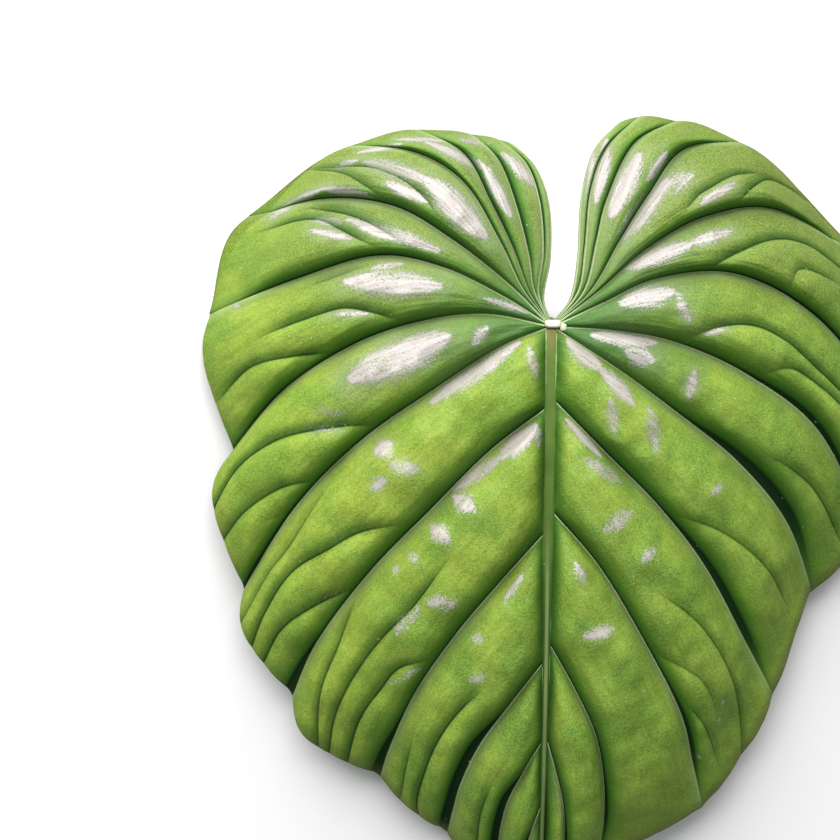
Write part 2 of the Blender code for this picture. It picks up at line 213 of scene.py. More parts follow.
def veinRoot(start, side):
    if start < 0:
        return midribFlank(start, side)
    turn = math.radians(start)
    return leafPlan["rootRing"] * np.array([side * math.sin(turn), math.cos(turn)])


def smoothLine(points, count):
    # count + 1 even stops along a Catmull-Rom curve through the points
    points = [np.array(point, float) for point in points]
    ends = [2 * points[0] - points[1], *points, 2 * points[-1] - points[-2]]
    fine = []
    for a, b, c, d in zip(ends, ends[1:], ends[2:], ends[3:]):
        for t in np.linspace(0, 1, 24, endpoint=False):
            square, cube = 2 * a - 5 * b + 4 * c - d, 3 * b - a - 3 * c + d
            fine.append(b + 0.5 * ((c - a) * t + square * t**2 + cube * t**3))
    fine = np.array([*fine, points[-1]])
    run = np.concatenate([[0], np.cumsum(np.linalg.norm(np.diff(fine, axis=0), axis=1))])
    stops = np.linspace(0, run[-1], count + 1)
    return np.stack([np.interp(stops, run, fine[:, k]) for k in range(fine.shape[1])], axis=1)


def veinLines(veins, side, rows):
    # every vein from root to margin as (places, heights), then the midrib's last stretch
    droop = np.linspace(0, 1, rows + 1) ** leafPlan["droopPower"]
    lines = []
    for start, passes, endZ, _ in veins:
        root = veinRoot(start, side)
        lines.append((smoothLine([root, *passes], rows), midribZ(root[1]) * (1 - droop) + endZ * droop))
    lastStretch = np.linspace(veins[-1][0], leafPlan["tip"][0], rows + 1)
    lines.append((midribFlank(lastStretch, side).T, midribZ(lastStretch)))
    return lines


def smoothStep(value, low, high):
    share = np.clip((value - low) / (high - low), 0, 1)
    return share * share * (3 - 2 * share)


def ripples(x, y, seed, count, shortest, longest):
    # a smooth random surface, about -1 to 1, made of plane waves in every direction
    draw = np.random.default_rng(seed)
    total = np.zeros_like(x)
    for _ in range(count):
        turn, phase = draw.uniform(0, 2 * math.pi, 2)
        wave = 2 * math.pi / draw.uniform(shortest, longest)
        total += np.sin(wave * (x * math.cos(turn) + y * math.sin(turn)) + phase)
    return total / math.sqrt(count)


bladeMesh = {
    "rows": 280,
    "columns": 224,
    "columnPower": 0.8,      # how a panel's share of the columns follows its width
    "crowding": 0.45,        # how much the columns gather at the veins
    "thickness": 0.8,
    "steepThickening": 2.6,
    "veinRib": (1.3, 0.75),  # how far the ribs stand out below, and how much of it tapers away
    "ribProfile": ((-4, 0.35), (-2, 0.8), (0, 1.0), (2, 0.8), (4, 0.35)),  # columns aside, share
    "topClearance": 0.15,
    "nearSurface": 4,        # below this height the blade's top keeps clear of its underside
    "fitInside": (0.996, 0.9995),  # in X and Y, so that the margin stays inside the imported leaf's box
    "rimValues": (20.0, 20.0, 0.5),
}

pillowShape = {
    "perWidth": 0.42,
    "most": 14.0,
    "peak": 0.58,
    "lobePower": (1.7, 2.6),       # on the lobes and lower down
    "tipPower": 3.6,
    "lowerPanels": (5, 8),         # the panels over which the lobes' form turns into the lower one
    "marginLoss": (0.35, 5),
    "midribWall": 6.0,
    "bulge": (6.75, 4),
    "creaseFade": (0.76, 0.98),    # the stretch in which a crease dies away near the margin
    "lobeCrease": (-0.15, 0.35),   # the stretch in which a lobe's crease comes up
    "gapOpens": 0.35,
    "gapMost": 0.3,                # share of the panel's width
    "veinFree": 5,                 # unevenness starts this far from a vein, so that the panels meet
    "foldDepth": 1.35,
    "foldReach": (6.5, 3.4),       # how far a fold's slope runs to its lobe side and its tip side
    "foldStops": 60,
    "foldStart": (-0.02, 0.12),    # where a fold comes up, from its start
    "foldEnd": (-0.08, 0.06),      # where it dies away, from its end
    "foldFull": 3.2,               # a fold this deep has its full colour
    "swell": (0.35, 0.8, 20, 44),  # height on the lobes and lower down, shortest and longest wave
    "swellWaves": (3, 9),          # seed and count
    "quilt": (0.16, 7, 14),
    "quiltWaves": (8, 14),
    "streak": 0.12,
    "streakWaves": (5, 7, 1.6, 4.0),
    "lane": (24, 9),               # lanes in a panel, and the mm that one runs on for
    "edgeCurl": (3.0, 7.0),        # how far the margin turns down, over how much of its last stretch
    "roundCorner": (1.4, 8.0),     # how far a vein's end is pulled in, and over how far beside it
    "roundPower": 12,
    "roundAbove": (-245, -215),
    "roundPanels": (4, 7),
}


# Low swellings inside the panels: their places (X, Y), height and reach.
swellings = (
    (86, -133, 1.7, 3.5), (77, -122, -1.3, 3.0), (63, -182, 1.5, 3.0), (100, -101, 1.6, 4.0),
    (82, -143, -1.2, 3.0), (93, -113, -1.0, 3.5), (108, -92, 1.2, 3.0),
    (-71, -55, 1.6, 4.0), (-63, -63, 1.5, 4.0), (-38, -78, 1.6, 3.5), (-47, -87, 1.5, 4.0),
    (-60, -99, 1.4, 3.5), (-66, -104, 1.2, 3.0), (-46, -117, 1.3, 4.0), (-34, -132, 1.3, 3.0),
    (-32, -147, 1.2, 3.0), (25, -32, 1.4, 3.5), (26, -47, 1.4, 3.5), (41, -39, 1.4, 4.0),
    (42, -55, 1.5, 4.0), (58, -30, 1.3, 3.5), (68, -71, 1.5, 4.0), (13, -49, 1.4, 3.5),
    (26, -84, 1.5, 4.0), (38, -98, 1.3, 3.5), (10, -103, 1.3, 3.0), (20, -130, 1.5, 4.0),
)


def arch(t, lobePower):
    # height across a panel, 0 at its two veins and 1 at its peak
    peak = pillowShape["peak"]
    lobeSide = 1 - (1 - np.minimum(t / peak, 1)) ** lobePower
    tipSide = 1 - (1 - np.minimum((1 - t) / (1 - peak), 1)) ** pillowShape["tipPower"]
    return np.where(t < peak, lobeSide, tipSide)


def foldLines(folds, panel, outwards, t, width):
    # the depth of this panel's folds, the distance across each, and how strong each is there
    depth = np.zeros_like(width * t)
    gaps, strengths = [], []
    lobeReach, tipReach = pillowShape["foldReach"]
    for _, fullDepth, places in [fold for fold in folds if fold[0] == panel]:
        fullDepth = fullDepth * pillowShape["foldDepth"]
        places = smoothLine(places, pillowShape["foldStops"])
        start, end = places[0, 0], places[-1, 0]
        path = np.interp(outwards, places[:, 0], places[:, 1])[:, None]
        s = outwards[:, None] + 0 * depth
        low, high = pillowShape["foldStart"]
        fade = smoothStep(s, start + low, start + high)
        if end < 0.99:  # it ends before the margin
            low, high = pillowShape["foldEnd"]
            fade = fade * (1 - smoothStep(s, end + low, end + high))
        gap = (t - path) * width
        depth += fade * fullDepth * np.exp(-np.abs(gap) / np.where(gap < 0, lobeReach, tipReach))
        gaps.append(gap)
        strengths.append(fade * min(1, fullDepth / pillowShape["foldFull"]))
    gaps += [depth * 0 + 99.0] * 3  # far off, where the panel has fewer than three
    strengths += [depth * 0] * 3
    return depth, gaps[:3], strengths[:3]


strokeShape = {
    "ends": 0.35,          # half width at the ends and what the middle adds, as shares
    "middle": 0.8,
    "middlePower": 0.8,
    "edge": (0.3, 1.9),
    "sheen": (0.5, 3, 2.2),  # from this share of the half width, to 3 mm and 2.2 half widths
}


def shineAt(x, y):
    # how strongly the skin shines and carries the painted highlight, from 0 to 1, inside the strokes, and the
    # painted sheen round them
    shine, sheen = np.zeros_like(x), np.zeros_like(x)
    sheenFrom, sheenMm, sheenHalves = strokeShape["sheen"]
    for startX, startY, endX, endY, half, strength in glossStrokes:
        runX, runY = endX - startX, endY - startY
        along = np.clip(((x - startX) * runX + (y - startY) * runY) / (runX**2 + runY**2), 0, 1)
        away = np.hypot(x - startX - along * runX, y - startY - along * runY)
        middle = np.sin(math.pi * along) ** strokeShape["middlePower"]
        reach = half * (strokeShape["ends"] + strokeShape["middle"] * middle)
        shine = np.maximum(shine, strength * (1 - smoothStep(away / reach, *strokeShape["edge"])))
        pale = 1 - smoothStep(away, sheenFrom * half, sheenMm + sheenHalves * half)
        sheen = np.maximum(sheen, strength * pale)
    return shine, sheen


def panelSurface(first, second, bulge, crease, side, t, panel, folds):
    # one panel from vein to vein: its places, and what its materials read at each place
    (lineA, zA), (lineB, zB) = first, second
    outwards = np.linspace(0, 1, len(zA))
    s = outwards[:, None]
    width = np.linalg.norm(lineB - lineA, axis=1)[:, None]
    length = np.linalg.norm(np.diff(lineA, axis=0), axis=1).sum()
    loss, lossPower = pillowShape["marginLoss"]
    most = pillowShape["most"]
    gapWidth, gapFrom, creaseLeft = crease
    creaseShare = 1 - (1 - creaseLeft) * smoothStep(s, *pillowShape["creaseFade"])
    gap = gapWidth * smoothStep(s, gapFrom, min(1, gapFrom + pillowShape["gapOpens"])) * creaseShare
    gap = np.minimum(gap, pillowShape["gapMost"] * width)
    height = most * np.tanh(pillowShape["perWidth"] * width / most)
    height = height * (1 - loss * s**lossPower) * creaseShare
    onLobe = width[0, 0] <= leafPlan["rootRing"]
    if onLobe:
        creaseShare = creaseShare * smoothStep(s, *pillowShape["lobeCrease"])
    else:
        height = height * (1 - np.exp(-s * length / pillowShape["midribWall"]))
    chord = lineB[-1] - lineA[-1]
    scale, power = pillowShape["bulge"]
    outward = bulge * scale * side * np.array([-chord[1], chord[0]])
    push = (t * (1 - t) ** 2 * s**power)[..., None] * outward
    flat = lineA[:, None] * (1 - t)[..., None] + lineB[:, None] * t[..., None] + push
    x, y = flat[..., 0], flat[..., 1]

    fromLobeVein, fromTipVein = t * width, np.maximum(0, (1 - t) * width - gap)
    acrossPillow = np.minimum(1, t * width / (width - gap))
    nearVein = np.minimum(fromLobeVein, fromTipVein)
    pull, pullReach = pillowShape["roundCorner"]
    pull = pull * smoothStep(y, *pillowShape["roundAbove"]) * smoothStep(panel, *pillowShape["roundPanels"])
    beside = np.minimum(t, 1 - t) * width / pullReach
    pull = pull * s ** pillowShape["roundPower"] * np.exp(-(beside**2))
    x, y = x * (1 - pull / np.hypot(x, y)), y * (1 - pull / np.hypot(x, y))
    free = smoothStep(nearVein, 0, pillowShape["veinFree"])
    foldDepth, foldGaps, foldStrengths = foldLines(folds, panel, outwards, t, width)
    lobeSwell, lowSwell, swellShort, swellLong = pillowShape["swell"]
    lower = smoothStep(panel, *pillowShape["lowerPanels"])
    swell = lobeSwell + (lowSwell - lobeSwell) * lower
    lobePower = np.interp(lower, (0, 1), pillowShape["lobePower"])
    quilt, quiltShort, quiltLong = pillowShape["quilt"]
    uneven = swell * ripples(x, y, *pillowShape["swellWaves"], swellShort, swellLong)
    for bumpX, bumpY, rise, reach in swellings:
        uneven += rise * np.exp(-((x - bumpX) ** 2 + (y - bumpY) ** 2) / (2 * reach**2))
    uneven += quilt * ripples(x, y, *pillowShape["quiltWaves"], quiltShort, quiltLong)
    lanes, laneRun = pillowShape["lane"]
    lane = (panel + t) * lanes
    uneven += pillowShape["streak"] * ripples(lane, s * length / laneRun + 0 * t, *pillowShape["streakWaves"])
    curl, curlRun = pillowShape["edgeCurl"]
    edge = np.clip(1 - (1 - s) * length / curlRun, 0, 1) ** 2
    z = zA[:, None] * (1 - t) + zB[:, None] * t + height * arch(acrossPillow, lobePower)
    z += free * (uneven - foldDepth) - curl * edge
    shine, sheen = shineAt(x, y)
    return {
        "place": np.stack([x, y, z], axis=-1),
        "across": np.stack([fromLobeVein, fromTipVein, acrossPillow], axis=-1),
        "shineCreaseRoot": np.stack([shine, creaseShare + 0 * z, s * length + 0 * z], axis=-1),
        "foldGap": np.stack(foldGaps, axis=-1),
        "foldStrength": np.stack(foldStrengths, axis=-1) * free[..., None],
        "lane": np.stack([lane + 0 * z, s * length + 0 * z, onLobe + 0 * z], axis=-1),
        "outward": np.stack([s + 0 * z, (1 - s) * length + 0 * z, sheen], axis=-1),
    }


def bladeSurface(veins, creases, folds, side, panelsUsed):
    rows = bladeMesh["rows"]
    lines = veinLines(veins, side, rows)
    widest = [np.linalg.norm(lines[k + 1][0] - lines[k][0], axis=1).max() for k in panelsUsed]
    shares = np.array(widest) ** bladeMesh["columnPower"]
    counts = np.maximum(4, np.round(shares / shares.sum() * bladeMesh["columns"] / 2)).astype(int) * 2
    panels, ribColumns = [], []
    for panel, count in zip(panelsUsed, counts):
        even = np.linspace(0, 1, count + 1)
        t = even - bladeMesh["crowding"] * np.sin(2 * math.pi * even) / (2 * math.pi)
        t = np.broadcast_to(t, (rows + 1, count + 1))
        if panel > 0:
            ribColumns.append(int(sum(counts[:len(panels)])))
        panels.append(panelSurface(lines[panel], lines[panel + 1], veins[panel][3], creases[panel], side,
                                   t, panel, folds))
    if panelsUsed[-1] + 1 < len(veins):
        ribColumns.append(int(sum(counts)))
    return panels, ribColumns


def lowestAround(z):
    # the lowest height among each place and its neighbours, so that a coarser sheet stays below
    padded = np.pad(z, 1, mode="edge")
    rows, columns = z.shape
    return np.min([padded[i:i + rows, j:j + columns] for i in range(3) for j in range(3)], axis=0)


def undersideHeights(top, ribColumns):
    normal = np.cross(np.gradient(top, axis=0), np.gradient(top, axis=1))
    upright = np.abs(normal[..., 2]) / np.maximum(np.linalg.norm(normal, axis=2), 1e-9)
    drop = bladeMesh["thickness"] / np.maximum(upright, 1 / bladeMesh["steepThickening"])
    rib, taper = bladeMesh["veinRib"]
    ribs = np.zeros(top.shape[1])
    for column in ribColumns:
        for offset, share in bladeMesh["ribProfile"]:
            if 0 <= column + offset < len(ribs):
                ribs[column + offset] = max(ribs[column + offset], share)
    drop = drop + rib * ribs * (1 - taper * np.linspace(0, 1, len(top)))[:, None]
    return lowestAround(top[..., 2]) - drop


def addObject(name, data):
    made = bpy.data.objects.new(name, data)
    bpy.context.scene.collection.objects.link(made)
    return made


def setCornerValues(mesh, name, values):
    layer = mesh.attributes.new(name, "FLOAT_VECTOR", "CORNER")
    layer.data.foreach_set("vector", np.ascontiguousarray(values, np.float32).ravel())


def cornersOf(panels, key, step):
    # the four corners' values of every cell, read inside the cell's own panel
    corners = []
    for panel in panels:
        grid = panel[key][::step, ::step]
        near, far = grid[:-1], grid[1:]
        corners.append(np.stack([near[:, :-1], far[:, :-1], far[:, 1:], near[:, 1:]], axis=2))
    return np.concatenate(corners, axis=1).reshape(-1, 4, 3)


def cellFaces(index):
    near, far = index[:-1], index[1:]
    return np.stack([near[:, :-1], far[:, :-1], far[:, 1:], near[:, 1:]], axis=-1).reshape(-1, 4)


def loopAround(index):
    return np.concatenate([index[0, :-1], index[:-1, -1], index[-1, :0:-1], index[:0:-1, 0]])


def makeBladePart(name, veins, creases, folds, side, panelsUsed, materials):
    panels, ribColumns = bladeSurface(veins, creases, folds, side, panelsUsed)
    top = np.concatenate([p["place"][:, :-1] for p in panels] + [panels[-1]["place"][:, -1:]], axis=1)
    top += (leafPlan["joint"][0], leafPlan["joint"][1], 0)
    top[..., :2] *= bladeMesh["fitInside"]
    under = top[::2, ::2].copy()
    under[..., 2] = np.maximum(undersideHeights(top, ribColumns)[::2, ::2], 0)
    ceiling = cadBox[1].z / mm - bladeMesh["topClearance"]
    clearOf = np.repeat(np.repeat(under[..., 2], 2, axis=0), 2, axis=1)[:-1, :-1] + bladeMesh["thickness"]
    clearOf = np.maximum(clearOf * (top[..., 2] < bladeMesh["nearSurface"]), 0.0)
    top[..., 2] = np.clip(top[..., 2], clearOf, ceiling)

    topIndex = np.arange(top.shape[0] * top.shape[1]).reshape(top.shape[:2])
    underIndex = topIndex.size + np.arange(under.shape[0] * under.shape[1]).reshape(under.shape[:2])
    topFaces, underFaces = cellFaces(topIndex), cellFaces(underIndex)
    if side < 0:
        underFaces = underFaces[:, ::-1]
    else:
        topFaces = topFaces[:, ::-1]
    rimTop, rimUnder = loopAround(topIndex), loopAround(underIndex)
    n = len(rimUnder)
    rim = np.stack([rimTop[0::2], rimTop[1::2], np.roll(rimTop, -2)[0::2],
                    np.roll(rimUnder, -1), rimUnder], axis=1)
    if side < 0:
        rim = rim[:, ::-1]
    points = np.concatenate([top.reshape(-1, 3), under.reshape(-1, 3)]) * mm
    faces = [*topFaces.tolist(), *underFaces.tolist(), *rim.tolist()]
    mesh = bpy.data.meshes.new(name)
    mesh.from_pydata(points, [], faces)
    for key in ("across", "shineCreaseRoot", "foldGap", "foldStrength", "lane", "outward"):
        upper, lower = cornersOf(panels, key, 1), cornersOf(panels, key, 2)
        if side < 0:
            lower = lower[:, ::-1]
        else:
            upper = upper[:, ::-1]
        rimValues = np.tile(np.array(bladeMesh["rimValues"]), (n * 5, 1))
        setCornerValues(mesh, key, np.concatenate([upper.reshape(-1, 3), lower.reshape(-1, 3), rimValues]))
    for material in materials:
        mesh.materials.append(material)
    kinds = np.repeat([0, 1, 2], [len(topFaces), len(underFaces), n])
    mesh.polygons.foreach_set("material_index", kinds.astype(np.int32))
    mesh.shade_smooth()
    mesh.validate()
    print(name, "has", len(mesh.polygons), "faces")
    return addObject(name, mesh)


def ringFaces(index):
    # the faces between closed rings of points, and one at each end
    near, far = index[:-1], index[1:]
    faces = np.stack([near, np.roll(near, -1, 1), np.roll(far, -1, 1), far], axis=-1)
    return faces.reshape(-1, 4).tolist() + [index[0, ::-1].tolist(), index[-1].tolist()]


def sweep(name, centres, sideways, upwards, radii, sides, flatness, material):
    # a closed rod along the centres; a higher flatness makes its sides squarer
    turns = np.linspace(0, 2 * math.pi, sides, endpoint=False)
    c, s = np.cos(turns), np.sin(turns)
    roundness = (np.abs(c) ** flatness + np.abs(s) ** flatness) ** (-1 / flatness)
    ring = np.stack([c * roundness, s * roundness], axis=1)
    rings = (centres[:, None] + radii[:, None, :1] * ring[None, :, :1] * sideways[:, None]
             + radii[:, None, 1:] * ring[None, :, 1:] * upwards[:, None])
    index = np.arange(len(centres) * sides).reshape(len(centres), sides)
    mesh = bpy.data.meshes.new(name)
    mesh.from_pydata(rings.reshape(-1, 3) * mm, [], ringFaces(index))
    mesh.materials.append(material)
    mesh.shade_smooth()
    mesh.set_sharp_from_angle(angle=math.radians(60))
    return addObject(name, mesh)


def addNode(tree, kind, inputs=None, **settings):
    made = tree.nodes.new("ShaderNode" + kind)
    for key, value in settings.items():
        setattr(made, key, value)
    for key, value in (inputs or {}).items():
        if isinstance(value, bpy.types.NodeSocket):
            tree.links.new(value, made.inputs[key])
        else:
            made.inputs[key].default_value = value
    return made


def mixColours(tree, factor, a, b, blend="MIX"):
    made = addNode(tree, "Mix", {0: factor, 6: a, 7: b}, data_type="RGBA", blend_type=blend)
    return made.outputs[2]


def between(tree, value, low, high, atLow=0.0, atHigh=1.0):
    inputs = {"Value": value, "From Min": low, "From Max": high, "To Min": atLow, "To Max": atHigh}
    return addNode(tree, "MapRange", inputs, interpolation_type="SMOOTHSTEP").outputs[0]


def sums(tree, operation, a, b=0.0):
    return addNode(tree, "Math", {0: a, 1: b}, operation=operation).outputs[0]


def times(tree, a, b):
    return sums(tree, "MULTIPLY", a, b)


def readAttribute(tree, name):
    read = addNode(tree, "Attribute", attribute_name=name, attribute_type="GEOMETRY")
    return addNode(tree, "SeparateXYZ", {0: read.outputs["Vector"]}).outputs


def startGroup(name, inputs, outputs):
    tree = bpy.data.node_groups.new(name, "ShaderNodeTree")
    for label, kind, value in inputs:
        socket = tree.interface.new_socket(label, in_out="INPUT", socket_type=kind)
        if value is not None:
            socket.default_value = value
    for label, kind in outputs:
        tree.interface.new_socket(label, in_out="OUTPUT", socket_type=kind)
    return tree, tree.nodes.new("NodeGroupInput").outputs, tree.nodes.new("NodeGroupOutput").inputs


def placeGroup(tree, group, inputs):
    made = tree.nodes.new("ShaderNodeGroup")
    made.node_tree = group
    for key, value in inputs.items():
        if isinstance(value, bpy.types.NodeSocket):
            tree.links.new(value, made.inputs[key])
        else:
            made.inputs[key].default_value = value
    return made.outputs


def makeSkinGrain():
    # the fine bumpy skin of the leaf: a height for bump, and a speckle for colour and gloss
    tree, given, out = startGroup(
        "skinGrain",
        [("Grains per metre", "NodeSocketFloat", 900.0), ("Roughen", "NodeSocketFloat", 0.5)],
        [("Height", "NodeSocketFloat"), ("Speckle", "NodeSocketFloat")])
    where = addNode(tree, "TexCoord").outputs["Object"]
    coarse = addNode(tree, "TexNoise", {"Vector": where, "Scale": given[0], "Detail": 3.0,
                                        "Roughness": given[1]}).outputs["Fac"]
    finer = times(tree, given[0], 2.6)
    cells = addNode(tree, "TexVoronoi", {"Vector": where, "Scale": finer}).outputs["Distance"]
    tree.links.new(sums(tree, "ADD", coarse, times(tree, cells, 0.35)), out[0])
    tree.links.new(between(tree, coarse, 0.35, 0.68), out[1])
    return tree


def makePaleFlecks():
    # scattered tiny pale dots
    tree, given, out = startGroup(
        "paleFlecks",
        [("Flecks per metre", "NodeSocketFloat", 160.0), ("Size", "NodeSocketFloat", 0.06),
         ("Share", "NodeSocketFloat", 0.3)],
        [("Mask", "NodeSocketFloat")])
    where = addNode(tree, "TexCoord").outputs["Object"]
    dots = addNode(tree, "TexVoronoi", {"Vector": where, "Scale": given[0]})
    chosen = addNode(tree, "SeparateColor", {0: dots.outputs["Color"]}).outputs[0]
    here = sums(tree, "LESS_THAN", chosen, given[2])
    size = times(tree, given[1], between(tree, chosen, 0.0, 0.3, 1.0, 0.45))
    spot = sums(tree, "LESS_THAN", dots.outputs["Distance"], size)
    tree.links.new(times(tree, here, spot), out[0])
    return tree


def makeGreenBlotches():
    # two greens, mixed in soft uneven patches
    tree, given, out = startGroup(
        "greenBlotches",
        [("Patches per metre", "NodeSocketFloat", 45.0), ("Dark", "NodeSocketColor", (0.05, 0.14, 0.01, 1)),
         ("Light", "NodeSocketColor", (0.25, 0.42, 0.03, 1))],
        [("Color", "NodeSocketColor"), ("Mask", "NodeSocketFloat")])
    where = addNode(tree, "TexCoord").outputs["Object"]
    noise = addNode(tree, "TexNoise", {"Vector": where, "Scale": given[0], "Detail": 4.0,
                                       "Roughness": 0.6}).outputs["Fac"]
    mask = between(tree, noise, 0.32, 0.66)
    tree.links.new(mixColours(tree, mask, given[1], given[2]), out[0])
    tree.links.new(mask, out[1])
    return tree


skinGrain, paleFlecks, greenBlotches = makeSkinGrain(), makePaleFlecks(), makeGreenBlotches()


def startMaterial(name):
    material = bpy.data.materials.new(name)
    material.use_nodes = True
    return material, material.node_tree, material.node_tree.nodes["Principled BSDF"]


upperLook = {
    "yellowGreen": (0.28, 0.405, 0.05, 1),
    "midGreen": (0.105, 0.262, 0.03, 1),
    # the lower and right greens: darker partly as painted shade of light falling off, and less yellow
    "lowYellow": (0.235, 0.385, 0.055, 1),
    "lowGreen": (0.065, 0.215, 0.032, 1),
    # painted shade of the lobes
    "lobeShadeGreen": (0.068, 0.118, 0.040, 1),
    # painted sheen round the shine strokes on the lobes
    "sheenGreen": (0.175, 0.24, 0.155, 1),
    # painted shade: the greens of the slopes down into a crease and of the crease; the slope green also
    # darkens the streaks and the band beside the midrib
    "highSlopeGreen": (0.105, 0.26, 0.025, 1),
    "slopeGreen": (0.028, 0.135, 0.014, 1),
    "creaseGreen": (0.006, 0.028, 0.006, 1),
    # partly the veins' own pale colour, partly painted sheen along them
    "veinPale": (0.50, 0.62, 0.34, 1),
    # painted shade near the joint
    "rootGreen": (0.055, 0.165, 0.045, 1),
    # painted sheen on the rim below a crease
    "rimSheenGreen": (0.26, 0.38, 0.14, 1),
    "marginOlive": (0.12, 0.11, 0.025, 1),
    "borderOlive": (0.20, 0.24, 0.055, 1),
    "fleck": (0.55, 0.65, 0.25, 1),
    # painted shade above a fold
    "foldGreen": (0.025, 0.10, 0.008, 1),
    "lightGrain": (0.42, 0.52, 0.08, 1),
    "darkGrain": (0.09, 0.20, 0.015, 1),
    "foldLineShare": 0.75,
    # painted highlight: the pale greys of the shine strokes, and the painted glints in them
    "glossAndPaintedHighlight": (0.29, 0.28, 0.265, 1),
    "paintedHighlightCore": (0.50, 0.46, 0.45, 1),
    "glint": (0.90, 0.87, 0.85, 1),
    "paintedHighlightShare": 0.86,
    "waxCoat": 0.45,
    "grainScale": 600.0,
    "speckScale": 1400.0,
    "grainShare": 0.5,
    "bump": 1.0,
    "specular": 0.15,
    "plainCoat": 0.06,
    "coatRoughness": 0.14,
    "coatIOR": 1.8,
    "blotchScale": 48.0,
    "laneStretch": (0.9, 0.05, 1.0),
    "lowerSlant": 0.6,
    "borderStreaks": 8.0,
    "fleckShare": 0.6,
    "bumpDepth": 0.0003,
    "raggedGrain": (0.45, 0.9, 0.68),  # the coarse and the fine grain's share, and their middle
    "flecks": {"Flecks per metre": 210.0, "Size": 0.08, "Share": 0.3},
    "glints": {"Flecks per metre": 420.0, "Size": 0.12, "Share": 0.3},
}
# Each zone's start and end, then how strong it is at both, or 0 and 1. Gaps and distances are in
# millimetres, the places "lower", "lobes", "lobesInner" and "coreLow" in metres, the rest shares.
upperZones = {
    "lower": (-0.10, 0.07),
    "lobes": (0.065, 0.135, 0.0, 0.92),
    "lobesInner": (-0.145, -0.085, 0.3, 1.0),
    "sheen": (0.0, 1.0, 0.15, 0.8),
    "streaks": (0.35, 0.7, 0.0, 0.3),
    "nearRoot": (0.02, 0.45, 0.85, 0.0),
    "rootBand": (0.5, 9.0, 0.9, 0.0),
    "rootBandStart": (0.2, 0.6),
    "rootLine": (0.15, 0.6, 0.7, 0.0),
    "softNearJoint": (0.1, 0.5, 0.75, 0.0),
    "slopeLeft": (0.0, 1.0, 0.3, 1.0),
    "slopeAcross": (0.35, 0.8),
    "highSlope": (2.0, 13.0, 0.75, 0.0),
    "lowSlope": (-1.0, 6.5, 1.0, 0.0),
    "rimStrip": (1.0, 5.5, 0.5, 0.0),
    "rimOutward": (0.15, 0.3),
    "crease": (0.1, 1.6, 1.0, 0.0),
    "creaseAcross": (0.6, 0.85),
    "bareTip": (0.5, 4.0),
    "bareLobe": (0.5, 1.4),
    "foldSlope": (-6.0, -0.4, 0.0, 0.8),
    "foldSlopeEnd": (-0.1, 0.6, 1.0, 0.0),
    "foldLine": (-1.3, -0.2),
    "foldLineEnd": (0.0, 0.5, 1.0, 0.0),
    "vein": (0.0, 0.25),
    "veinEnd": (0.5, 1.0, 1.0, 0.0),
    "veinOutward": (0.3, 1.0, 0.8, 0.25),
    "border": (4.0, 14.0, 0.55, 0.0),
    "margin": (0.2, 1.4, 0.8, 0.0),
    "marginLower": (0.0, 1.0, 0.25, 1.0),
    "raggedStreaks": (0.3, 0.7, -0.22, 0.22),
    "highlightEdge": (0.3, 0.62),
    "highlightStart": (0.02, 0.3),
    "core": (0.45, 1.0, 0.0, 0.75),
    "coreStreaks": (0.35, 0.65, -0.2, 0.35),
    "coreLow": (0.0, 0.06, 0.6, 0.0),
    "dullGrain": (0.25, 0.75, 1.0, 0.45),
    "roughness": (0.0, 1.0, 0.75, 0.33),
}


def zone(tree, value, name):
    return between(tree, value, *upperZones[name])


def readBlade(tree):
    # what the mesh holds at each place of the blade, and the noises that its colours share
    here = types.SimpleNamespace()
    here.lobeGap, here.tipGap, here.across = readAttribute(tree, "across")[:3]
    here.foldGaps, here.foldStrengths = readAttribute(tree, "foldGap"), readAttribute(tree, "foldStrength")
    here.outward, here.fromMargin, here.sheen = readAttribute(tree, "outward")[:3]
    here.shine, here.creaseShare, here.fromRoot = readAttribute(tree, "shineCreaseRoot")[:3]
    here.onLobe = readAttribute(tree, "lane")[2]
    lane = addNode(tree, "Attribute", attribute_name="lane", attribute_type="GEOMETRY").outputs["Vector"]
    lane = addNode(tree, "Mapping", {"Vector": lane, "Scale": upperLook["laneStretch"]}).outputs[0]
    here.streaks = addNode(tree, "TexNoise", {"Vector": lane, "Scale": 1.0, "Detail": 3.0}).outputs["Fac"]
    where = addNode(tree, "TexCoord").outputs["Object"]
    here.x, here.y = addNode(tree, "SeparateXYZ", {0: where}).outputs[:2]
    lower = sums(tree, "SUBTRACT", here.x, times(tree, here.y, upperLook["lowerSlant"]))
    here.lower = zone(tree, lower, "lower")
    here.grain = placeGroup(tree, skinGrain, {0: upperLook["grainScale"], 1: 0.7})
    here.speck = placeGroup(tree, skinGrain, {0: upperLook["speckScale"], 1: 0.8})
    return here


